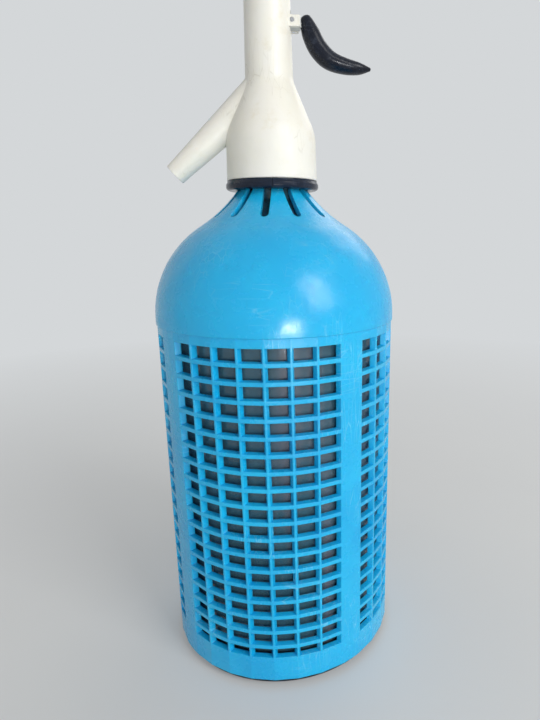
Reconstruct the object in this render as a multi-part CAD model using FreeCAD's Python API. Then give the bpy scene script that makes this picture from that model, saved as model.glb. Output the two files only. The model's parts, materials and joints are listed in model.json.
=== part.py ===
import FreeCAD, Part
import math
import os

# Soda siphon: a thick glass bottle in a latticed plastic sleeve, with a moulded
# valve head clamped on its neck. Millimetres, +Z up. The origin is the centre of
# the foot's underside. +X points to the lever, -X to the spout, -Y to the front.

V = FreeCAD.Vector
CENTRE = V(0, 0, 0)
UP = V(0, 0, 1)
ACROSS = V(0, 1, 0)
FRONT = -90.0

# Clearances between neighbours
slip = 0.3
close_slip = 0.15
running = 0.05

# Sleeve: barrel, dome and fingers
sleeve_r = 54.0
sleeve_wall = 2.4
sleeve_foot_z = 3.5
ring_line_z = 158.2
ring_line_step = 0.4
dome_start_z = ring_line_z + 1.8
dome_centre_r = 7.6
dome_r = sleeve_r + ring_line_step - dome_centre_r
dome_turn = 58.0
flare_r = 65.0
flare_turn = 20.0
hidden_steps = 5
flare_steps = 2
sleeve_top_z = (dome_start_z + (dome_r + flare_r) * math.sin(math.radians(dome_turn))
                - flare_r * math.sin(math.radians(dome_turn - flare_turn)))
slit_count = 12
slit_turn = -8.0
slit_width = 3.4
slit_root_r = 25.5

# Window lattice of the sleeve
panel_count = 4
panel_turn = -11.4
column_count = 7
column_pitch = 11.27
row_count = 19
row_pitch = 7.47
top_row_z = ring_line_z - 6.8
last_row_trim = 1.2
rib_crest = 0.95
rib_root = 3.1
rail_crest = 1.7
rail_root = 2.4

# Foot cup
foot_r = sleeve_r - 1.6
foot_rest_r = foot_r - 1.4
foot_rest_width = 11.0
foot_recess = 1.4
foot_floor = 4.0
foot_spigot_top = 15.0

# Glass bottle
bottle_r = sleeve_r - sleeve_wall - 1.8
bottle_wall = 4.4
bottle_heel = 7.0
bottle_floor = 6.0
punt_r = 34.0
punt_rise = 4.5
shoulder_turn = 14.0
neck_r = 12.3
neck_bore_r = 9.0
lip_r = 14.4
lip_edge = 1.5
lip_z = sleeve_top_z + 9.7
mouth_z = lip_z + 7.0

# Split ring that clamps the glass lip, standing on the fingers of the sleeve
ring_z = sleeve_top_z
flange_r = 20.4
flange_height = 3.6
flange_edge = 1.2
flange_step_r = 19.8
flange_step = 0.5
boss_r = 16.3
boss_top_z = mouth_z - 0.7
ring_seam = 0.15
lip_washer_height = 1.0

# Head moulding
skirt_z = ring_z + flange_height + flange_step
skirt_r = 19.8
skirt_edge = 0.5
skirt_top_r = 19.35
skirt_top_z = skirt_z + 19.5
shoulder_r = 19.0
ceiling_z = mouth_z + 2.5
column_foot_r = 10.25
column_foot_z = skirt_top_z + 20.9
column_blend_r = 8.0
column_top_r = 9.6
column_top_z = column_foot_z + 31.7
column_edge = 1.5
chamber_r = 6.4
chamber_floor_z = ceiling_z + 7.0
chamber_top_z = chamber_floor_z + 17.0
head_bore_r = 7.4
cap_bore_r = 8.0
cap_seat_z = column_top_z - 3.8

# Spout
spout_tip = V(-42.1, 0, skirt_z + 2.7)
spout_slope = 41.5
spout_tip_r = 4.7
spout_taper = 3.6
spout_length = 52.0
nozzle_r = 3.4
nozzle_depth = 14.0
passage_r = 2.4
passage_length = 50.0

# Lever, its pivot and the cheeks that carry it
pivot_x = 10.0
pivot_z = column_top_z - 9.2
pin_r = 0.95
arm_half_y = 2.6
arm_left_x = 4.4
arm_right_x = 13.7
arm_bottom_z = pivot_z - 2.0
arm_top_z = pivot_z + 2.6
cheek_outer_y = 4.7
cheek_right_x = 13.2
cheek_bottom_z = pivot_z - 2.4
cheek_top_z = pivot_z + 1.8
cheek_edge = 0.6
slot_bottom_z = pivot_z - 3.8
slot_top_z = pivot_z + 4.2
tang_half_y = 1.5
tang_step = 0.6
tang_foot_x = 18.6
tang_foot_z = pivot_z - 8.8
tang_depth = 2.6
tang_top_step = 1.0
tang_shoulder = 2.0
fork_root_x = 3.6
fork_relief = 1.1

# Horn handle: centre from the pivot's height, half thickness, half width and way of each section
horn_sections = [
    (15.45, 2.7, 1.6, 2.7, -70.0),
    (16.7, 0.1, 2.95, 3.7, -68.0),
    (18.3, -4.1, 3.9, 4.4, -66.0),
    (21.1, -9.2, 4.05, 4.8, -57.0),
    (25.8, -13.5, 3.85, 4.8, -38.0),
    (32.2, -15.7, 3.25, 4.3, -20.0),
    (38.6, -16.6, 2.4, 3.3, -8.0),
    (43.2, -16.8, 0.8, 1.1, -2.0),
]
horn_steps = 2
horn_sides = 20

# Dip tube and its holder
tube_r = 3.5
tube_bore_r = 2.3
tube_foot_z = foot_floor + bottle_floor + punt_rise + 1.5
tube_cut_slope = 30.0
holder_r = 8.6
holder_shank_r = 5.9
holder_bore_r = 2.5
holder_socket_r = 6.2
holder_foot_z = ceiling_z - 10.4
tube_top_z = ceiling_z - 4.0
grommet_height = 5.8

# Valve seat and the parts of the stem
seat_height = 1.6
seat_nose = 0.8
seat_nose_r = 3.6
washer_r = 4.7
washer_height = 2.2
stem_cup_r = 5.6
stem_cup_wall = 0.9
stem_cup_height = 2.8
stem_r = 2.6
stem_spring_r = 2.0
stem_tip_r = 1.2
stem_tip_z = pivot_z + 3.1
screw_head_r = 2.2
screw_head_height = 1.0
screw_length = 4.5
screw_slot_width = 0.8
gland_height = 5.4
packing_r = 4.5
packing_height = 1.9
spring_cup_r = 5.8
spring_cup_height = 1.0
retainer_height = 3.2
spring_foot_z = chamber_top_z + gland_height + 2.4
spring_top_z = slot_bottom_z - retainer_height - 0.2
spring_r = 4.4
spring_wire_r = 0.45
spring_turns = 4.5
spring_steps = 16
nut_flats = 6.0
nut_height = 1.8
fork_gap = 2.2

# Top cap
cap_crown = 0.8
cap_recess_r = 4.5
cap_recess = 1.3
coin_slot_width = 1.4
coin_slot_depth = 1.0


def at(r, z):
    """Point in the XZ plane: radius or X first, height second."""
    return V(r, 0, z)


def rounded_edges(points):
    """Closed chain of lines. A third value on a point is the radius of its corner."""
    count = len(points)
    corners = []
    for i, point in enumerate(points):
        here = at(point[0], point[1])
        if len(point) == 2:
            corners.append((here, here, here))
            continue
        to_last = (at(*points[i - 1][:2]) - here).normalize()
        to_next = (at(*points[(i + 1) % count][:2]) - here).normalize()
        half_turn = to_last.getAngle(to_next) / 2
        reach = point[2] / math.tan(half_turn)
        inward = (to_last + to_next).normalize()
        nearest = inward * (point[2] / math.sin(half_turn) - point[2])
        corners.append((here + to_last * reach, here + nearest, here + to_next * reach))
    edges = []
    for i, (start, middle, end) in enumerate(corners):
        if start != end:
            edges.append(Part.Arc(start, middle, end).toShape())
        edges.append(Part.LineSegment(end, corners[(i + 1) % count][0]).toShape())
    return edges


def lathe(edges):
    """Solid of revolution about Z from a closed chain of edges."""
    return Part.Face(Part.Wire(edges)).revolve(CENTRE, UP, 360)


def turned(points):
    return lathe(rounded_edges(points))


def rod(radius, z_low, z_high):
    return Part.makeCylinder(radius, z_high - z_low, at(0, z_low))


def pipe(outer_r, inner_r, z_low, z_high):
    return rod(outer_r, z_low, z_high).cut(rod(inner_r, z_low, z_high))


def block(x_low, x_high, half_y, z_low, z_high):
    return Part.makeBox(x_high - x_low, 2 * half_y, z_high - z_low, V(x_low, -half_y, z_low))


def plate(points, half_y):
    """Flat plate of a rounded outline in the XZ plane, half_y thick each way."""
    face = Part.Face(Part.Wire(rounded_edges(points)))
    face.translate(V(0, -half_y, 0))
    return face.extrude(V(0, 2 * half_y, 0))


def cross_rod(radius, x, z, half_y):
    return Part.makeCylinder(radius, 2 * half_y, V(x, -half_y, z), ACROSS)


def line(start, end):
    return Part.LineSegment(start, end).toShape()


def arc_about(centre, radius, first, last):
    """Arc in the XZ plane between two angles in degrees from +X."""
    ends = []
    for angle in (first, (first + last) / 2, last):
        turn = math.radians(angle)
        ends.append(centre + at(radius * math.cos(turn), radius * math.sin(turn)))
    return Part.Arc(*ends).toShape()


def dome_arcs(inset, flare_part):
    """Dome outline moved inward: the round shoulder, then the flare up to the neck."""
    dome_centre = at(sleeve_r + ring_line_step - dome_r, dome_start_z)
    turn = math.radians(dome_turn)
    reach = dome_r + flare_r
    flare_centre = dome_centre + at(reach * math.cos(turn), reach * math.sin(turn))
    start = 180 + dome_turn
    return [arc_about(dome_centre, dome_r - inset, 0, dome_turn),
            arc_about(flare_centre, flare_r + inset, start, start - flare_part)]


def dome_steps(inset, flare_part):
    """The same outline as straight steps, for the faces that the sleeve hides."""
    shoulder, flare = dome_arcs(inset, flare_part)
    points = shoulder.discretize(hidden_steps + 1) + flare.discretize(flare_steps + 1)[1:]
    return [(point.x, point.z) for point in points]


def turn_about_z(shape, angle):
    copy = shape.copy()
    copy.rotate(CENTRE, UP, angle)
    return copy


def window_frame(x, half_y, z_low, z_high):
    corners = [V(x, -half_y, z_low), V(x, half_y, z_low), V(x, half_y, z_high), V(x, -half_y, z_high)]
    return Part.makePolygon(corners + corners[:1])


def lattice_column():
    """Faces of one flat column of the barrel wall: both skins and its tapered windows."""
    half_pitch = math.radians(column_pitch / 2)
    skins = []
    openings = []
    for skin_r, rib, rail in ((sleeve_r, rib_crest, rail_crest), (sleeve_r - sleeve_wall, rib_root, rail_root)):
        x = skin_r * math.cos(half_pitch)
        half_y = sleeve_r * math.sin(half_pitch) - rib / 2
        holes = []
        for row in range(row_count):
            z = top_row_z - row * row_pitch
            trim = last_row_trim if row == row_count - 1 else 0.0
            half_z = (row_pitch - rail) / 2
            holes.append(window_frame(x, half_y, z - half_z + trim, z + half_z))
        border = window_frame(x, skin_r * math.sin(half_pitch), sleeve_foot_z, ring_line_z)
        skins.append(Part.makeFace([border] + holes, "Part::FaceMakerBullseye"))
        openings.append(holes)
    walls = []
    for outer, inner in zip(*openings):
        walls += [Part.makeRuledSurface(a, b) for a, b in zip(outer.Edges, inner.Edges)]
    return skins + walls


def barrel_section(radius, z):
    """Outline of one skin at height z: flat columns joined by round bands."""
    edges = []
    for panel in range(panel_count):
        middle = FRONT + panel_turn + panel * 360 / panel_count
        half = column_count / 2 * column_pitch
        angles = [middle - half + i * column_pitch for i in range(column_count + 1)]
        following = middle + 360 / panel_count - half
        angles += [(angles[-1] + following) / 2, following]
        points = []
        for angle in angles:
            turn = math.radians(angle)
            points.append(V(radius * math.cos(turn), radius * math.sin(turn), z))
        edges += [line(a, b) for a, b in zip(points[:-2], points[1:-2])]
        edges.append(Part.Arc(*points[-3:]).toShape())
    return Part.Wire(edges)


def barrel():
    """Barrel wall with all its windows, sewn from its faces into one solid."""
    column = lattice_column()
    faces = []
    for panel in range(panel_count):
        middle = FRONT + panel_turn + panel * 360 / panel_count
        for i in range(column_count):
            angle = middle + (i - (column_count - 1) / 2) * column_pitch
            faces += [turn_about_z(face, angle) for face in column]
    for radius in (sleeve_r, sleeve_r - sleeve_wall):
        for edge in barrel_section(radius, sleeve_foot_z).Edges:
            if isinstance(edge.Curve, Part.Circle):
                faces.append(edge.extrude(at(0, ring_line_z - sleeve_foot_z)))
    for z in (sleeve_foot_z, ring_line_z):
        sections = [barrel_section(radius, z) for radius in (sleeve_r, sleeve_r - sleeve_wall)]
        faces.append(Part.makeFace(sections, "Part::FaceMakerBullseye"))
    skin = Part.makeCompound(faces)
    skin.sewShape()
    return Part.makeSolid(skin)


def finger_slits(top_z):
    """Slots between the fingers, each with a round root."""
    floor_z = dome_start_z + slit_width
    slot = block(0, slit_root_r, slit_width / 2, floor_z, top_z)
    root = rod(slit_width / 2, floor_z, top_z)
    root.translate(at(slit_root_r, 0))
    slot = slot.fuse(root)
    return [turn_about_z(slot, FRONT + slit_turn + i * 360 / slit_count) for i in range(slit_count)]


def sleeve():
    shoulder, flare = dome_arcs(0, flare_turn)
    inside = dome_steps(ring_line_step + sleeve_wall, flare_turn)
    top = flare.valueAt(flare.LastParameter)
    path = [(sleeve_r + ring_line_step, dome_start_z), (sleeve_r + ring_line_step, ring_line_z),
            (inside[0][0], ring_line_z)] + inside + [(inside[-1][0], top.z), (top.x, top.z)]
    points = [at(*point) for point in path]
    dome = lathe([shoulder, flare] + [line(a, b) for a, b in zip(points, points[1:])])
    return dome.cut(finger_slits(top.z + 1)).fuse(barrel())


def base_foot():
    rest_inner_r = foot_rest_r - foot_rest_width
    spigot_r = (sleeve_r - sleeve_wall) * math.cos(math.radians(column_pitch / 2)) - close_slip
    cup_r = bottle_r + close_slip
    return turned([(0, foot_recess), (rest_inner_r - foot_recess, foot_recess), (rest_inner_r, 0),
                   (foot_rest_r, 0), (foot_r, foot_r - foot_rest_r), (foot_r, sleeve_foot_z),
                   (spigot_r, sleeve_foot_z), (spigot_r, foot_spigot_top), (cup_r, foot_spigot_top),
                   (cup_r, foot_floor), (0, foot_floor)])


def glass_bottle():
    """Thick bottle with a punt. Its heel and lip are hidden, so their corners are plain bevels."""
    inset = sleeve_r + ring_line_step - bottle_r
    outside = dome_steps(inset, shoulder_turn)
    inside = dome_steps(inset + bottle_wall, shoulder_turn)
    floor_z = foot_floor + bottle_floor
    inner_r = bottle_r - bottle_wall
    neck_foot_r, neck_foot_z = outside[-1]
    bore_foot_r, bore_foot_z = inside[-1]
    return turned([(0, foot_floor + punt_rise), (punt_r, foot_floor), (bottle_r - bottle_heel, foot_floor),
                   (bottle_r, foot_floor + bottle_heel)]
                  + outside
                  + [(neck_r, neck_foot_z + neck_foot_r - neck_r), (neck_r, lip_z),
                     (lip_r, lip_z), (lip_r, mouth_z - lip_edge), (lip_r - lip_edge, mouth_z),
                     (neck_bore_r, mouth_z),
                     (neck_bore_r, bore_foot_z + bore_foot_r - neck_bore_r)]
                  + inside[::-1]
                  + [(inner_r, floor_z + bottle_heel), (inner_r - bottle_heel, floor_z), (punt_r, floor_z),
                     (0, floor_z + punt_rise)])


def split_ring_half(side):
    """One half of the clamping ring: flange below, boss above, seat for the lip inside."""
    seat_z = lip_z - lip_washer_height
    top_z = ring_z + flange_height
    ring = turned([(neck_r + slip, ring_z), (flange_r - flange_edge, ring_z),
                   (flange_r - flange_edge / 3, ring_z + flange_edge / 3), (flange_r, ring_z + flange_edge),
                   (flange_r, top_z - flange_edge), (flange_r - flange_edge / 3, top_z - flange_edge / 3),
                   (flange_step_r, top_z),
                   (flange_step_r, skirt_z), (boss_r, skirt_z), (boss_r, boss_top_z),
                   (lip_r + slip, boss_top_z), (lip_r + slip, seat_z), (neck_r + slip, seat_z)])
    half = Part.makeBox(flange_r + 1, 2 * flange_r + 2, boss_top_z - ring_z + 2,
                        V(ring_seam / 2, -flange_r - 1, ring_z - 1))
    if side < 0:
        half = turn_about_z(half, 180)
    return ring.common(half)


def spout_way():
    """Direction of the spout's axis, from its tip into the head."""
    slope = math.radians(spout_slope)
    return at(math.cos(slope), math.sin(slope))


def head_body():
    """Skirt, bell, column, spout and lever cheeks in one moulding, bored from both ends."""
    body = turned([(0, skirt_z), (skirt_r, skirt_z, skirt_edge), (skirt_top_r, skirt_top_z, shoulder_r),
                   (column_foot_r, column_foot_z, column_blend_r), (column_top_r, column_top_z, column_edge),
                   (0, column_top_z)])
    root_r = spout_tip_r + spout_length * math.tan(math.radians(spout_taper))
    spout = Part.makeCone(spout_tip_r, root_r, spout_length, spout_tip, spout_way())
    cheeks = plate([(0, cheek_bottom_z), (cheek_right_x, cheek_bottom_z, cheek_edge),
                    (cheek_right_x, cheek_top_z, cheek_edge), (0, cheek_top_z)], cheek_outer_y)
    slot_half_y = arm_half_y + close_slip
    solid = body.fuse([spout, cheeks]).removeSplitter()
    voids = [
        turned([(0, skirt_z), (boss_r + slip, skirt_z), (boss_r + slip, ceiling_z),
                (holder_shank_r, ceiling_z), (holder_shank_r, chamber_floor_z),
                (chamber_r, chamber_floor_z), (chamber_r, chamber_top_z),
                (head_bore_r, chamber_top_z), (head_bore_r, cap_seat_z), (cap_bore_r, cap_seat_z),
                (cap_bore_r, column_top_z), (0, column_top_z)]),
        Part.makeCylinder(nozzle_r, nozzle_depth, spout_tip, spout_way()),
        Part.makeCylinder(passage_r, passage_length, spout_tip, spout_way()),
        block(0, cheek_right_x + 1, slot_half_y, slot_bottom_z, slot_top_z),
        cross_rod(pin_r, pivot_x, pivot_z, cheek_outer_y),
    ]
    return solid.cut(voids)


def top_cap():
    crown_z = column_top_z + cap_crown
    cap = turned([(0, cap_seat_z + cap_recess), (cap_recess_r, cap_seat_z + cap_recess),
                  (cap_recess_r, cap_seat_z), (cap_bore_r, cap_seat_z), (cap_bore_r, column_top_z),
                  (cap_bore_r - cap_crown, crown_z), (0, crown_z)])
    return cap.cut(block(-cap_bore_r, cap_bore_r, coin_slot_width / 2, crown_z - coin_slot_depth, crown_z + 1))


def tube_holder():
    """Bush in the mouth of the glass: socket for the dip tube, shank up into the head."""
    return turned([(holder_socket_r, holder_foot_z), (holder_r, holder_foot_z), (holder_r, ceiling_z),
                   (holder_shank_r, ceiling_z), (holder_shank_r, chamber_floor_z),
                   (holder_bore_r, chamber_floor_z), (holder_bore_r, tube_top_z),
                   (holder_socket_r, tube_top_z)])


def dip_tube():
    tube = pipe(tube_r, tube_bore_r, tube_foot_z, tube_top_z)
    wedge = block(-3 * tube_r, 3 * tube_r, 2 * tube_r, -2 * tube_r, 0)
    wedge.rotate(CENTRE, ACROSS, tube_cut_slope)
    wedge.translate(at(0, tube_foot_z + tube_r))
    return tube.cut(wedge)


def valve_seat():
    top_z = chamber_floor_z + seat_height
    return turned([(holder_bore_r, chamber_floor_z), (chamber_r, chamber_floor_z), (chamber_r, top_z),
                   (seat_nose_r, top_z), (seat_nose_r - seat_nose / 2, top_z + seat_nose),
                   (holder_bore_r, top_z + seat_nose)])


def seal_z():
    """Height of the seat's nose, which the valve washer rests on."""
    return chamber_floor_z + seat_height + seat_nose


def valve_washer():
    return pipe(washer_r, stem_tip_r, seal_z(), seal_z() + washer_height)


def washer_screw():
    head = rod(screw_head_r, seal_z() - screw_head_height, seal_z())
    slot = block(-screw_head_r, screw_head_r, screw_slot_width / 2,
                 seal_z() - screw_head_height, seal_z() - screw_head_height / 2)
    return head.fuse(rod(stem_tip_r, seal_z(), seal_z() + screw_length)).removeSplitter().cut(slot)


def valve_stem():
    """Cup for the washer, then three steps: through the packing, the spring and the fork."""
    washer_top_z = seal_z() + washer_height
    cup_foot_z = washer_top_z - washer_height / 2
    cup_top_z = cup_foot_z + stem_cup_height
    cup_z = spring_foot_z - spring_cup_height
    stem = turned([(0, washer_top_z), (stem_cup_r - stem_cup_wall, washer_top_z),
                   (stem_cup_r - stem_cup_wall, cup_foot_z), (stem_cup_r, cup_foot_z),
                   (stem_cup_r, cup_top_z), (stem_r, cup_top_z), (stem_r, cup_z), (stem_spring_r, cup_z),
                   (stem_spring_r, lower_nut_z()), (stem_tip_r, lower_nut_z()),
                   (stem_tip_r, stem_tip_z), (0, stem_tip_z)])
    return stem.cut(rod(stem_tip_r, washer_top_z, seal_z() + screw_length))


def stem_gland():
    """Guide bush of the stem, with a closed groove for its packing."""
    top_z = chamber_top_z + gland_height
    bush = pipe(head_bore_r, stem_r + running, chamber_top_z, top_z)
    return bush.cut(rod(packing_r, packing_z(), packing_z() + packing_height))


def packing_z():
    return chamber_top_z + (gland_height - packing_height) / 2


def stem_packing():
    return pipe(packing_r, stem_r + running / 2, packing_z(), packing_z() + packing_height)


def spring_cup():
    return pipe(spring_cup_r, stem_spring_r, spring_foot_z - spring_cup_height, spring_foot_z)


def spring_retainer():
    return pipe(head_bore_r, stem_spring_r + running, spring_top_z, spring_top_z + retainer_height)


def valve_spring():
    """Closing spring: a square-cornered helix of short straight runs."""
    rise = spring_top_z - spring_foot_z - 2 * spring_wire_r
    steps = int(spring_turns * spring_steps)
    path = []
    for i in range(steps + 1):
        turn = 2 * math.pi * i / spring_steps
        path.append(V(spring_r * math.cos(turn), spring_r * math.sin(turn),
                      spring_foot_z + spring_wire_r + rise * i / steps))
    section = Part.makePolygon([path[0] + V(spring_wire_r * math.cos(k * math.pi / 3), 0,
                                            spring_wire_r * math.sin(k * math.pi / 3)) for k in range(7)])
    return Part.makePolygon(path).makePipeShell([section], True, False, 1)


def lower_nut_z():
    return pivot_z - fork_gap / 2 - nut_height


def stem_nuts():
    """Two hexagon nuts, one under and one over the fork of the lever."""
    nuts = []
    for z in (lower_nut_z(), pivot_z + fork_gap / 2):
        corner_r = nut_flats / 2 / math.cos(math.pi / 6)
        corners = [V(corner_r * math.cos(k * math.pi / 3), corner_r * math.sin(k * math.pi / 3), z)
                   for k in range(7)]
        nut = Part.Face(Part.makePolygon(corners)).extrude(at(0, nut_height))
        nuts.append(nut.cut(rod(stem_tip_r, z, z + nut_height)))
    return Part.makeCompound(nuts)


def lever_arm():
    """Bar through the column: a fork on the stem, the pivot hole, a tang in the horn."""
    prong = fork_gap / 2 - close_slip
    bar = plate([(arm_left_x, arm_bottom_z), (arm_right_x, arm_bottom_z), (arm_right_x, arm_top_z),
                 (arm_left_x, arm_top_z)], arm_half_y)
    fork = plate([(0, pivot_z - prong), (arm_left_x, pivot_z - prong + fork_relief),
                  (arm_left_x, pivot_z + prong), (0, pivot_z + prong)], arm_half_y)
    tip = cross_rod(prong, 0, pivot_z, arm_half_y)
    tang = plate([(arm_right_x, arm_bottom_z + tang_step), (tang_foot_x, tang_foot_z),
                  (tang_foot_x + tang_depth, tang_foot_z + tang_depth / 3),
                  (arm_right_x + tang_shoulder, arm_top_z - tang_top_step - tang_step),
                  (arm_right_x, arm_top_z - tang_top_step)], tang_half_y)
    bar = bar.fuse([fork, tip, tang]).removeSplitter()
    gap_half_y = stem_tip_r + close_slip
    gap = block(-arm_left_x, fork_root_x, gap_half_y, slot_bottom_z, slot_top_z)
    return bar.cut([gap, cross_rod(pin_r + running, pivot_x, pivot_z, arm_half_y)])


def eased(before, start, end, after, part):
    """Value part of the way from start to end, on a smooth curve through all four."""
    bend = 2 * before - 5 * start + 4 * end - after
    twist = 3 * (start - end) + after - before
    return start + 0.5 * part * (end - before + part * (bend + part * twist))


def horn_rings():
    """The key sections of the horn with eased ones between them."""
    ends = [horn_sections[0]] + horn_sections + [horn_sections[-1]]
    rings = []
    for four in zip(ends, ends[1:], ends[2:], ends[3:]):
        for step in range(horn_steps):
            rings.append([eased(*values, step / horn_steps) for values in zip(*four)])
    return rings + [horn_sections[-1]]


def lever_handle():
    """Horn that the hand presses, moulded on the tang of the arm."""
    outlines = []
    for x, z, half_thick, half_wide, way in horn_rings():
        turn = math.radians(way)
        side = at(-math.sin(turn), math.cos(turn))
        corners = []
        for k in range(horn_sides):
            round_turn = 2 * math.pi * k / horn_sides
            corners.append(at(x, pivot_z + z) + side * (half_thick * math.sin(round_turn))
                           + ACROSS * (half_wide * math.cos(round_turn)))
        outlines.append(Part.makePolygon(corners + corners[:1]))
    return Part.makeLoft(outlines, True, True).cut(lever_arm())


def lever_pin():
    return cross_rod(pin_r, pivot_x, pivot_z, cheek_outer_y)


def lip_washer():
    return pipe(lip_r, neck_r, lip_z - lip_washer_height, lip_z)


def mouth_gasket():
    return pipe(lip_r, holder_r, mouth_z, ceiling_z)


def tube_grommet():
    return pipe(holder_socket_r, tube_r, holder_foot_z, holder_foot_z + grommet_height)


def save(name, shape):
    if not shape.isValid():
        raise ValueError(name + " is not valid")
    shape.exportStep("parts/" + name + ".step")
    print(name, len(shape.Solids), round(shape.Volume, 1))


os.makedirs("parts", exist_ok=True)
save("base_foot", base_foot())
save("glass_bottle", glass_bottle())
save("lip_washer", lip_washer())
save("split_ring_left", split_ring_half(-1))
save("split_ring_right", split_ring_half(1))
save("mouth_gasket", mouth_gasket())
save("tube_holder", tube_holder())
save("tube_grommet", tube_grommet())
save("dip_tube", dip_tube())
save("head_body", head_body())
save("valve_seat", valve_seat())
save("stem_gland", stem_gland())
save("stem_packing", stem_packing())
save("valve_spring", valve_spring())
save("spring_retainer", spring_retainer())
save("top_cap", top_cap())
save("lever_pin", lever_pin())
save("valve_stem", valve_stem())
save("valve_washer", valve_washer())
save("washer_screw", washer_screw())
save("spring_cup", spring_cup())
save("stem_nuts", stem_nuts())
save("lever_arm", lever_arm())
save("lever_handle", lever_handle())
save("sleeve", sleeve())
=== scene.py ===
import bmesh
import bpy
import json
import math
from mathutils import Matrix, Vector


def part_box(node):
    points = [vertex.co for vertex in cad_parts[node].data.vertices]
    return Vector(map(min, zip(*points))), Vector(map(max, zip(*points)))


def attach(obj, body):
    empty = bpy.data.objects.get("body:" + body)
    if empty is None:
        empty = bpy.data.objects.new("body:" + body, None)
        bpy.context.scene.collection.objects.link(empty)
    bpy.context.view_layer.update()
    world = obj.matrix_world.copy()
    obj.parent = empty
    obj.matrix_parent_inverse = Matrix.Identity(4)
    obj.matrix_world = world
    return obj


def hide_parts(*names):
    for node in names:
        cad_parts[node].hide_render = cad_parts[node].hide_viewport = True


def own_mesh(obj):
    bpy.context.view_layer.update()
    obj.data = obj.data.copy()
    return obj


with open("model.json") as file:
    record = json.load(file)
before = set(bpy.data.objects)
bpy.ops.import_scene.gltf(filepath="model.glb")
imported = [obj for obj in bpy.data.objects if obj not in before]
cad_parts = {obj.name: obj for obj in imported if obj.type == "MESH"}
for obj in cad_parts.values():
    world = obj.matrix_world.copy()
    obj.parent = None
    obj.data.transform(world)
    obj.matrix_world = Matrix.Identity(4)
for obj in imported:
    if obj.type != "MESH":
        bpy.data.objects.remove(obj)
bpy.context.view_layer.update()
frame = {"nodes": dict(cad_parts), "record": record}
MM = 0.001
WHITE = (1.0, 1.0, 1.0)
WARM_WHITE = (1.0, 0.99, 0.97)


# Node helpers. Coordinates are the object's own, in metres, so 1000 / scale is a feature's size in mm.

BEVEL_SAMPLES = 6
PATCH_EDGE = 0.1
SCRATCHED_ROUGHNESS = 0.6


def new_material(name):
    made = bpy.data.materials.new(name)
    made.use_nodes = True
    shader = made.node_tree.nodes["Principled BSDF"]
    place = made.node_tree.nodes.new("ShaderNodeTexCoord").outputs["Object"]
    return made, made.node_tree, shader, place


def feed(tree, socket, value):
    """Links a socket, or sets a plain value."""
    if isinstance(value, bpy.types.NodeSocket):
        tree.links.new(value, socket)
    else:
        socket.default_value = value


def stretched(tree, place, stretch):
    made = tree.nodes.new("ShaderNodeMapping")
    tree.links.new(place, made.inputs["Vector"])
    made.inputs["Scale"].default_value = stretch
    return made.outputs["Vector"]


def noise(tree, place, scale, detail, fineness=0.55):
    made = tree.nodes.new("ShaderNodeTexNoise")
    tree.links.new(place, made.inputs["Vector"])
    made.inputs["Scale"].default_value = scale
    made.inputs["Detail"].default_value = detail
    made.inputs["Roughness"].default_value = fineness
    return made.outputs["Fac"]


def cracks(tree, place, scale):
    """Distance to the nearest cell wall: thin lines where it is near nothing."""
    made = tree.nodes.new("ShaderNodeTexVoronoi")
    made.feature = "DISTANCE_TO_EDGE"
    tree.links.new(place, made.inputs["Vector"])
    made.inputs["Scale"].default_value = scale
    return made.outputs["Distance"]


def spread(tree, value, low, high, start=0.0, end=1.0):
    """Value from low to high turned into start to end, clamped."""
    made = tree.nodes.new("ShaderNodeMapRange")
    feed(tree, made.inputs["Value"], value)
    made.inputs["From Min"].default_value = low
    made.inputs["From Max"].default_value = high
    made.inputs["To Min"].default_value = start
    made.inputs["To Max"].default_value = end
    return made.outputs["Result"]


def patches(tree, place, scale, detail, low, high, start=0.0, end=1.0, fineness=0.55):
    """Noise turned into patches: start where it is below low, end where it is above high."""
    return spread(tree, noise(tree, place, scale, detail, fineness), low, high, start, end)


def combined(tree, operation, first, second):
    """Two values combined by the named operation, and kept between nothing and one."""
    made = tree.nodes.new("ShaderNodeMath")
    made.operation = operation
    made.use_clamp = True
    feed(tree, made.inputs[0], first)
    feed(tree, made.inputs[1], second)
    return made.outputs["Value"]


def mixed(tree, factor, first, second):
    made = tree.nodes.new("ShaderNodeMix")
    made.data_type = "RGBA"
    feed(tree, made.inputs["Factor"], factor)
    feed(tree, made.inputs["A"], first)
    feed(tree, made.inputs["B"], second)
    return made.outputs["Result"]


def blended(tree, factor, first, second, output):
    """Mix of two shaders that goes to the output."""
    made = tree.nodes.new("ShaderNodeMixShader")
    tree.links.new(factor, made.inputs["Fac"])
    tree.links.new(first, made.inputs[1])
    tree.links.new(second, made.inputs[2])
    tree.links.new(made.outputs["Shader"], tree.nodes[output].inputs["Surface"])


def bumped(tree, height, distance, normal=None):
    made = tree.nodes.new("ShaderNodeBump")
    tree.links.new(height, made.inputs["Height"])
    made.inputs["Distance"].default_value = distance
    if normal:
        tree.links.new(normal, made.inputs["Normal"])
    return made.outputs["Normal"]


def softened(tree, radius):
    """Normals rounded over the edges, as a moulding's are."""
    made = tree.nodes.new("ShaderNodeBevel")
    made.samples = BEVEL_SAMPLES
    made.inputs["Radius"].default_value = radius
    return made.outputs["Normal"]


def rgb(red, green, blue):
    """Linear colour from the 0 to 255 numbers of a screen."""
    linear = []
    for value in (red, green, blue):
        value /= 255
        linear.append(value / 12.92 if value <= 0.04045 else ((value + 0.055) / 1.055) ** 2.4)
    return (*linear, 1.0)


def shaded(colour, share):
    """The same colour, paler with a share over one and darker with one below."""
    return [channel * share for channel in colour[:3]] + [1.0]


def scratches(tree, place, stretch, scale, width, patch_scale, patch_low):
    """Fine lines in one direction, in patches only."""
    lines = spread(tree, cracks(tree, stretched(tree, place, stretch), scale), 0.0, width, 1.0, 0.0)
    patch = patches(tree, place, scale=patch_scale, detail=4.0, low=patch_low, high=patch_low + PATCH_EDGE)
    return combined(tree, "MULTIPLY", lines, patch)


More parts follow.
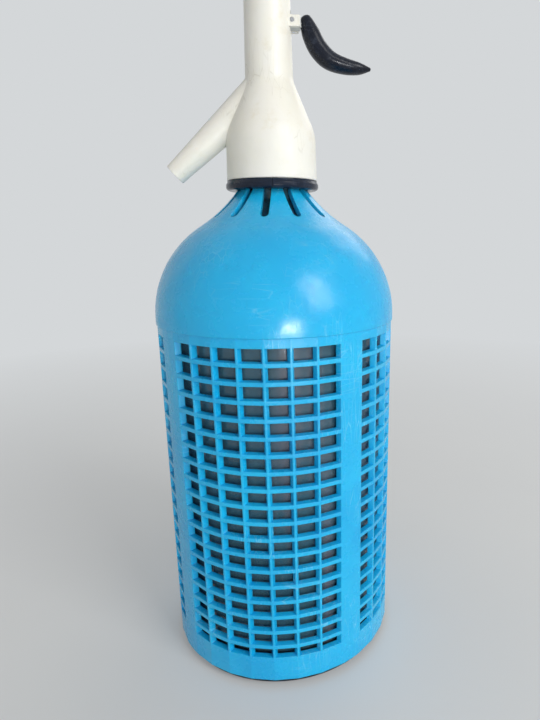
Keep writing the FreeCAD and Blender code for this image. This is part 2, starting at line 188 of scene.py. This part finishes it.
def scuffed(tree, gloss, rub):
    """Roughness that is also high where the surface is scratched."""
    return combined(tree, "MAXIMUM", gloss, combined(tree, "MULTIPLY", rub, SCRATCHED_ROUGHNESS))


# Materials

def sleeve_plastic():
    """Sky blue moulding: clouded, with darker grime and pale scratches both ways."""
    made, tree, shader, place = new_material("sleeve_blue")
    cloud = patches(tree, place, scale=22.0, detail=5.0, low=0.35, high=0.68)
    colour = mixed(tree, cloud, rgb(16, 172, 230), rgb(30, 188, 240))
    upright = stretched(tree, place, (1.0, 1.0, 0.35))
    grime = patches(tree, upright, scale=75.0, detail=8.0, fineness=0.7, low=0.60, high=0.78, end=0.5)
    colour = mixed(tree, grime, colour, rgb(6, 130, 190))
    down = scratches(tree, place, stretch=(1.0, 1.0, 0.12), scale=420.0, width=0.035,
                     patch_scale=28.0, patch_low=0.52)
    across = scratches(tree, place, stretch=(0.15, 0.3, 1.0), scale=330.0, width=0.03,
                       patch_scale=35.0, patch_low=0.56)
    rub = combined(tree, "MAXIMUM", down, across)
    colour = mixed(tree, combined(tree, "MULTIPLY", rub, 0.35), colour, rgb(160, 224, 246))
    feed(tree, shader.inputs["Base Color"], colour)
    gloss = patches(tree, place, scale=140.0, detail=6.0, low=0.3, high=0.75, start=0.2, end=0.36)
    feed(tree, shader.inputs["Roughness"], scuffed(tree, gloss, rub))
    wave = bumped(tree, noise(tree, place, scale=38.0, detail=2.0), 0.0009, softened(tree, 0.0005))
    wave = bumped(tree, noise(tree, place, scale=900.0, detail=3.0), 0.00002, wave)
    feed(tree, shader.inputs["Normal"], bumped(tree, rub, 0.00003, wave))
    shader.inputs["Specular IOR Level"].default_value = 0.5
    shader.inputs["Subsurface Weight"].default_value = 0.2
    shader.inputs["Subsurface Radius"].default_value = (0.0006, 0.0018, 0.003)
    shader.inputs["Subsurface Scale"].default_value = 1.0
    return made


def head_plastic():
    """Ivory moulding: clouded and yellowed in patches, with faint grey scratches."""
    made, tree, shader, place = new_material("head_ivory")
    cloud = patches(tree, place, scale=34.0, detail=4.0, low=0.35, high=0.7)
    colour = mixed(tree, cloud, rgb(243, 242, 235), rgb(238, 236, 224))
    age = patches(tree, place, scale=90.0, detail=8.0, fineness=0.7, low=0.58, high=0.8, end=0.5)
    colour = mixed(tree, age, colour, rgb(218, 209, 180))
    rub = scratches(tree, place, stretch=(1.0, 0.5, 0.14), scale=520.0, width=0.03,
                    patch_scale=60.0, patch_low=0.55)
    colour = mixed(tree, combined(tree, "MULTIPLY", rub, 0.3), colour, rgb(176, 170, 150))
    feed(tree, shader.inputs["Base Color"], colour)
    gloss = patches(tree, place, scale=200.0, detail=5.0, low=0.3, high=0.75, start=0.3, end=0.46)
    feed(tree, shader.inputs["Roughness"], gloss)
    wave = bumped(tree, noise(tree, place, scale=85.0, detail=2.0), 0.0004, softened(tree, 0.0004))
    wave = bumped(tree, noise(tree, place, scale=1400.0, detail=3.0), 0.00002, wave)
    feed(tree, shader.inputs["Normal"], bumped(tree, rub, 0.00002, wave))
    shader.inputs["Subsurface Weight"].default_value = 0.15
    shader.inputs["Subsurface Radius"].default_value = (0.003, 0.0026, 0.0018)
    shader.inputs["Subsurface Scale"].default_value = 1.0
    return made


def dark_plastic(name, base, worn, wear, smooth, rough):
    """Blue-black plastic with paler rubbed patches and fine lines."""
    made, tree, shader, place = new_material(name)
    cloud = patches(tree, place, scale=60.0, detail=5.0, low=0.35, high=0.7)
    colour = mixed(tree, cloud, base, shaded(base, 1.6))
    patch = patches(tree, place, scale=190.0, detail=9.0, fineness=0.75, low=0.53, high=0.72, end=wear)
    colour = mixed(tree, patch, colour, worn)
    rub = scratches(tree, place, stretch=(0.25, 1.0, 0.6), scale=900.0, width=0.05,
                    patch_scale=110.0, patch_low=0.5)
    colour = mixed(tree, combined(tree, "MULTIPLY", rub, wear), colour, worn)
    feed(tree, shader.inputs["Base Color"], colour)
    gloss = patches(tree, place, scale=260.0, detail=6.0, low=0.3, high=0.75, start=smooth, end=rough)
    feed(tree, shader.inputs["Roughness"], scuffed(tree, gloss, rub))
    wave = bumped(tree, noise(tree, place, scale=160.0, detail=3.0), 0.0002, softened(tree, 0.0003))
    wave = bumped(tree, noise(tree, place, scale=2200.0, detail=4.0), 0.000025, wave)
    feed(tree, shader.inputs["Normal"], bumped(tree, rub, 0.00002, wave))
    shader.inputs["Specular IOR Level"].default_value = 0.3
    return made


def bottle_glass():
    """Thick tinted glass with a film of dust and specks, and upright pale streaks of painted reflection.
    """
    made, tree, shader, place = new_material("bottle_glass")
    tint = patches(tree, place, scale=18.0, detail=3.0, low=0.3, high=0.7)
    colour = mixed(tree, tint, rgb(112, 162, 178), rgb(88, 146, 168))
    broad = stretched(tree, place, (1.0, 1.0, 0.06))
    # Upright pale streaks: painted reflection, the glass made lighter in bands as if it caught glints.
    light = patches(tree, broad, scale=62.0, detail=2.0, low=0.56, high=0.68, end=0.7)
    colour = mixed(tree, light, colour, rgb(190, 182, 192))
    specks = patches(tree, place, scale=700.0, detail=6.0, fineness=0.7, low=0.56, high=0.68, end=0.6)
    feed(tree, shader.inputs["Base Color"], mixed(tree, specks, colour, rgb(176, 188, 196)))
    narrow = stretched(tree, place, (1.0, 1.0, 0.08))
    haze = patches(tree, narrow, scale=90.0, detail=5.0, fineness=0.65, low=0.35, high=0.7,
                   start=0.04, end=0.3)
    feed(tree, shader.inputs["Roughness"], haze)
    feed(tree, shader.inputs["Normal"], bumped(tree, noise(tree, place, scale=30.0, detail=1.0), 0.0004))
    shader.inputs["Transmission Weight"].default_value = 0.72
    shader.inputs["IOR"].default_value = 1.5
    return made


def plain_plastic(name, first, second, smooth, rough):
    """Rubber or plain plastic: clouded between two colours, with darker stains."""
    made, tree, shader, place = new_material(name)
    cloud = patches(tree, place, scale=110.0, detail=5.0, low=0.35, high=0.7)
    stain = patches(tree, place, scale=320.0, detail=8.0, fineness=0.7, low=0.6, high=0.8, end=0.4)
    colour = mixed(tree, stain, mixed(tree, cloud, first, second), shaded(second, 0.7))
    feed(tree, shader.inputs["Base Color"], colour)
    gloss = patches(tree, place, scale=400.0, detail=5.0, low=0.3, high=0.75, start=smooth, end=rough)
    feed(tree, shader.inputs["Roughness"], gloss)
    grain = noise(tree, place, scale=1500.0, detail=3.0)
    feed(tree, shader.inputs["Normal"], bumped(tree, grain, 0.00002, softened(tree, 0.0002)))
    return made


def metal(name, first, second, stretch, scale):
    """Turned or drawn metal: fine lines along or round it."""
    made, tree, shader, place = new_material(name)
    cloud = patches(tree, place, scale=180.0, detail=6.0, fineness=0.65, low=0.35, high=0.7)
    feed(tree, shader.inputs["Base Color"], mixed(tree, cloud, first, second))
    lines = noise(tree, stretched(tree, place, stretch), scale=scale, detail=4.0, fineness=0.7)
    feed(tree, shader.inputs["Roughness"], spread(tree, lines, 0.3, 0.75, start=0.2, end=0.42))
    feed(tree, shader.inputs["Normal"], bumped(tree, lines, 0.00003, softened(tree, 0.0001)))
    shader.inputs["Metallic"].default_value = 1.0
    return made


horn_plastic = dark_plastic("horn_black", rgb(11, 16, 28), rgb(92, 102, 120),
                            wear=0.4, smooth=0.2, rough=0.4)
finishes = {
    "sleeve_plastic": sleeve_plastic(),
    "head_plastic": head_plastic(),
    "dark_plastic": dark_plastic("ring_black", rgb(14, 24, 40), rgb(70, 80, 102),
                                 wear=0.25, smooth=0.12, rough=0.26),
    "foot_plastic": dark_plastic("foot_black", rgb(12, 16, 29), rgb(60, 66, 80),
                                 wear=0.35, smooth=0.4, rough=0.6),
    "bottle_glass": bottle_glass(),
    "seal_rubber": plain_plastic("seal_rubber", rgb(34, 34, 35), rgb(46, 45, 44), smooth=0.6, rough=0.85),
    "tube_plastic": plain_plastic("tube_white", rgb(222, 228, 226), rgb(208, 216, 214),
                                  smooth=0.35, rough=0.5),
    "valve_brass": metal("valve_brass", rgb(206, 170, 104), rgb(176, 138, 78),
                         stretch=(1.0, 1.0, 9.0), scale=600.0),
    "spring_steel": metal("spring_steel", rgb(196, 197, 200), rgb(164, 166, 170),
                          stretch=(1.0, 1.0, 6.0), scale=900.0),
    "pin_steel": metal("pin_steel", rgb(200, 201, 203), rgb(168, 170, 173),
                       stretch=(1.0, 12.0, 1.0), scale=500.0),
    "lever_plastic": plain_plastic("lever_grey", rgb(222, 224, 222), rgb(208, 211, 208),
                                   smooth=0.3, rough=0.5),
}
slots = {part["node"]: part["material_slot"] for part in frame["record"]["subparts"]}
for name, node in frame["nodes"].items():
    node.data.materials.clear()
    node.data.materials.append(finishes[slots[name]])


# Pieces of the scene's own

def linked(name, mesh, finish):
    """Object made of a mesh, with one finish, in the scene."""
    data = bpy.data.meshes.new(name)
    mesh.to_mesh(data)
    mesh.free()
    data.materials.append(finish)
    made = bpy.data.objects.new(name, data)
    bpy.context.scene.collection.objects.link(made)
    return made


def skin(name, rings, finish):
    """Closed smooth skin through rings of points."""
    mesh = bmesh.new()
    loops = [[mesh.verts.new(point) for point in ring] for ring in rings]
    for first, second in zip(loops, loops[1:]):
        for k in range(len(first)):
            following = (k + 1) % len(first)
            mesh.faces.new((first[k], first[following], second[following], second[k]))
    mesh.faces.new(loops[0][::-1])
    mesh.faces.new(loops[-1])
    bmesh.ops.recalc_face_normals(mesh, faces=mesh.faces)
    for face in mesh.faces:
        face.smooth = True
    return linked(name, mesh, finish)


# Horn: sections like the CAD horn's, with a rounder top end, eased into one smooth skin.
# Each has its middle's x from the bottle's axis and z from the lever's pivot, its half
# thickness and its half width, all in mm, and the way that the horn runs there in degrees.

HORN = [
    (16.0, 1.3, 2.6, 3.3, -71.0),
    (16.7, -0.4, 3.15, 3.8, -68.0),
    (18.3, -4.1, 3.9, 4.4, -66.0),
    (21.1, -9.2, 4.05, 4.8, -57.0),
    (25.8, -13.5, 3.85, 4.8, -38.0),
    (32.2, -15.7, 3.25, 4.3, -20.0),
    (38.6, -16.6, 2.4, 3.3, -8.0),
    (43.2, -16.8, 0.8, 1.1, -2.0),
]
HORN_STEPS = 7
HORN_SIDES = 40
CAP_SHARES = (0.35, 0.7, 0.92, 0.995)
CAP_LENGTH = 0.7
PIVOT_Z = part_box("lever_pin")[0].z / 2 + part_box("lever_pin")[1].z / 2


def eased(before, start, end, after, part):
    """Smooth curve from start to end, with slopes that suit the values before and after."""
    bend = 2 * before - 5 * start + 4 * end - after
    twist = 3 * (start - end) + after - before
    return start + 0.5 * part * (end - before + part * (bend + part * twist))


def horn_rings():
    """The key sections of the horn with eased ones between them."""
    ends = [HORN[0]] + HORN + [HORN[-1]]
    rings = []
    for four in zip(ends, ends[1:], ends[2:], ends[3:]):
        for step in range(HORN_STEPS):
            rings.append([eased(*values, step / HORN_STEPS) for values in zip(*four)])
    return rings + [HORN[-1]]


def end_cap(ring, outward):
    """Rings that shrink beyond one end of the horn, so that it is round."""
    x, z, thick, wide, way = ring
    turn = math.radians(way)
    cap = []
    for share in CAP_SHARES:
        reach = thick * share * outward * CAP_LENGTH
        shrink = math.sqrt(1 - share * share)
        cap.append((x + math.cos(turn) * reach, z + math.sin(turn) * reach,
                    thick * shrink, wide * shrink, way))
    return cap


def section(x, z, thick, wide, way):
    """Oval ring of points across the horn."""
    turn = math.radians(way)
    side = Vector((-math.sin(turn), 0, math.cos(turn)))
    points = []
    for k in range(HORN_SIDES):
        round_turn = 2 * math.pi * k / HORN_SIDES
        offset = side * (thick * math.sin(round_turn)) + Vector((0, wide * math.cos(round_turn), 0))
        points.append((Vector((x, 0, z)) + offset) * MM + Vector((0, 0, PIVOT_Z)))
    return points


rings = horn_rings()
rings = end_cap(rings[0], -1)[::-1] + rings + end_cap(rings[-1], 1)
horn = skin("lever_horn", [section(*ring) for ring in rings], horn_plastic)
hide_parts("lever_handle")
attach(horn, "lever")


# Closing spring: a smooth helix. Lengths are in metres.

SPRING_TURNS = 4.5
SPRING_WIRE_R = 0.00045
SPRING_STEPS = 144
WIRE_SIDES = 12


def spring_rings(foot, top, middle_r):
    """Rings of the wire from foot to top, round a helix of that radius."""
    rings = []
    rise = top - foot - 2 * SPRING_WIRE_R
    for step in range(SPRING_STEPS + 1):
        part = step / SPRING_STEPS
        turn = 2 * math.pi * SPRING_TURNS * part
        out = Vector((math.cos(turn), math.sin(turn), 0))
        middle = out * middle_r + Vector((0, 0, foot + SPRING_WIRE_R + rise * part))
        ring = []
        for side in range(WIRE_SIDES):
            way = 2 * math.pi * side / WIRE_SIDES
            ring.append(middle + (out * math.cos(way) + Vector((0, 0, math.sin(way)))) * SPRING_WIRE_R)
        rings.append(ring)
    return rings


spring_low, spring_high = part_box("valve_spring")
wire = spring_rings(spring_low.z, spring_high.z, spring_high.x - SPRING_WIRE_R)
spring = skin("closing_spring", wire, finishes["spring_steel"])
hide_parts("valve_spring")
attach(spring, "siphon")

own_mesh(spring)


# Floor, surroundings, lamps and camera. Lengths are in metres, angles in radians.

PALE = rgb(212, 215, 217)
FLOOR_R = 6.0
FLOOR_GAP = 0.0001
FADE_START_R = 0.1
FADE_END_R = 0.8
FADE_START_SHARE = 0.25
SURROUNDING_LIGHT = 0.4
LAMPS = {
    "key": dict(place=(0.75, -0.85, 0.75), target=(0, 0, 0.15), width=0.55, height=0.7,
                watts=7.4, colour=WARM_WHITE),
    "low": dict(place=(0.2, -0.9, 0.06), target=(0, 0, 0.15), width=0.1, height=0.1,
                watts=2.2, colour=WHITE),
    "back": dict(place=(0.5, 0.8, 0.8), target=(0, 0, 0.2), width=0.8, height=0.5,
                 watts=1.8, colour=WHITE),
}
CAMERA_PLACE = (0, -0.2527, 0.1975)
CAMERA_YAW = -0.1002
CAMERA_PITCH = -0.2447
CAMERA_ROLL = -0.006
CAMERA_LENS_MM = 26.80
CAMERA_SHIFT = (-0.0836, 0.0064)
CAMERA_NEAREST = 0.01


def seen_ray(tree):
    """One for rays that see the surroundings, nothing for rays that light by them."""
    path = tree.nodes.new("ShaderNodeLightPath")
    seen = combined(tree, "MAXIMUM", path.outputs["Is Camera Ray"], path.outputs["Is Glossy Ray"])
    return combined(tree, "MAXIMUM", seen, path.outputs["Is Transmission Ray"])


def floor_finish():
    """Pale floor that takes the shadow near the object and fades into the background."""
    made, tree, shader, place = new_material("floor_pale")
    cloud = patches(tree, place, scale=3.0, detail=4.0, low=0.35, high=0.7)
    feed(tree, shader.inputs["Base Color"], mixed(tree, cloud, rgb(226, 227, 226), rgb(220, 221, 221)))
    shader.inputs["Roughness"].default_value = 0.7
    shader.inputs["Specular IOR Level"].default_value = 0.2
    distance = tree.nodes.new("ShaderNodeVectorMath")
    distance.operation = "LENGTH"
    tree.links.new(place, distance.inputs[0])
    far = spread(tree, distance.outputs["Value"], FADE_START_R, FADE_END_R, start=FADE_START_SHARE)
    pale = tree.nodes.new("ShaderNodeEmission")
    pale.inputs["Color"].default_value = PALE
    shown = combined(tree, "MULTIPLY", far, seen_ray(tree))
    blended(tree, shown, shader.outputs["BSDF"], pale.outputs["Emission"], "Material Output")
    return made


def floor():
    mesh = bmesh.new()
    bmesh.ops.create_circle(mesh, cap_ends=True, segments=96, radius=FLOOR_R)
    made = linked("floor", mesh, floor_finish())
    made.location.z = -FLOOR_GAP


def sky():
    """Even pale surroundings, dimmer as a light than as a background."""
    world = bpy.data.worlds.new("surroundings")
    bpy.context.scene.world = world
    world.use_nodes = True
    tree = world.node_tree
    light = tree.nodes["Background"]
    light.inputs["Color"].default_value = (*WARM_WHITE, 1.0)
    light.inputs["Strength"].default_value = SURROUNDING_LIGHT
    seen = tree.nodes.new("ShaderNodeBackground")
    seen.inputs["Color"].default_value = PALE
    blended(tree, seen_ray(tree), light.outputs["Background"], seen.outputs["Background"],
            "World Output")


def lamp(name, place, target, width, height, watts, colour):
    data = bpy.data.lights.new(name, "AREA")
    data.shape = "RECTANGLE"
    data.size = width
    data.size_y = height
    data.energy = watts
    data.color = colour
    made = bpy.data.objects.new(name, data)
    made.location = place
    made.rotation_mode = "QUATERNION"
    made.rotation_quaternion = (Vector(target) - Vector(place)).to_track_quat("-Z", "Y")
    bpy.context.scene.collection.objects.link(made)


def camera():
    """The photograph's viewpoint, 540 by 720: close in front of the bottle, looking down on it."""
    ahead = Vector((-math.sin(CAMERA_YAW) * math.cos(CAMERA_PITCH),
                    math.cos(CAMERA_YAW) * math.cos(CAMERA_PITCH),
                    math.sin(CAMERA_PITCH)))
    level = Vector((math.cos(CAMERA_YAW), math.sin(CAMERA_YAW), 0))
    raised = level.cross(ahead)
    right = level * math.cos(CAMERA_ROLL) + raised * math.sin(CAMERA_ROLL)
    up = raised * math.cos(CAMERA_ROLL) - level * math.sin(CAMERA_ROLL)
    data = bpy.data.cameras.new("camera")
    data.lens = CAMERA_LENS_MM
    data.shift_x, data.shift_y = CAMERA_SHIFT
    data.clip_start = CAMERA_NEAREST
    made = bpy.data.objects.new("camera", data)
    turned = Matrix((right, up, -ahead)).transposed().to_4x4()
    made.matrix_world = Matrix.Translation(CAMERA_PLACE) @ turned
    bpy.context.scene.collection.objects.link(made)
    bpy.context.scene.camera = made


floor()
sky()
for name, values in LAMPS.items():
    lamp(name, **values)
camera()
bpy.context.scene.view_settings.view_transform = "Standard"
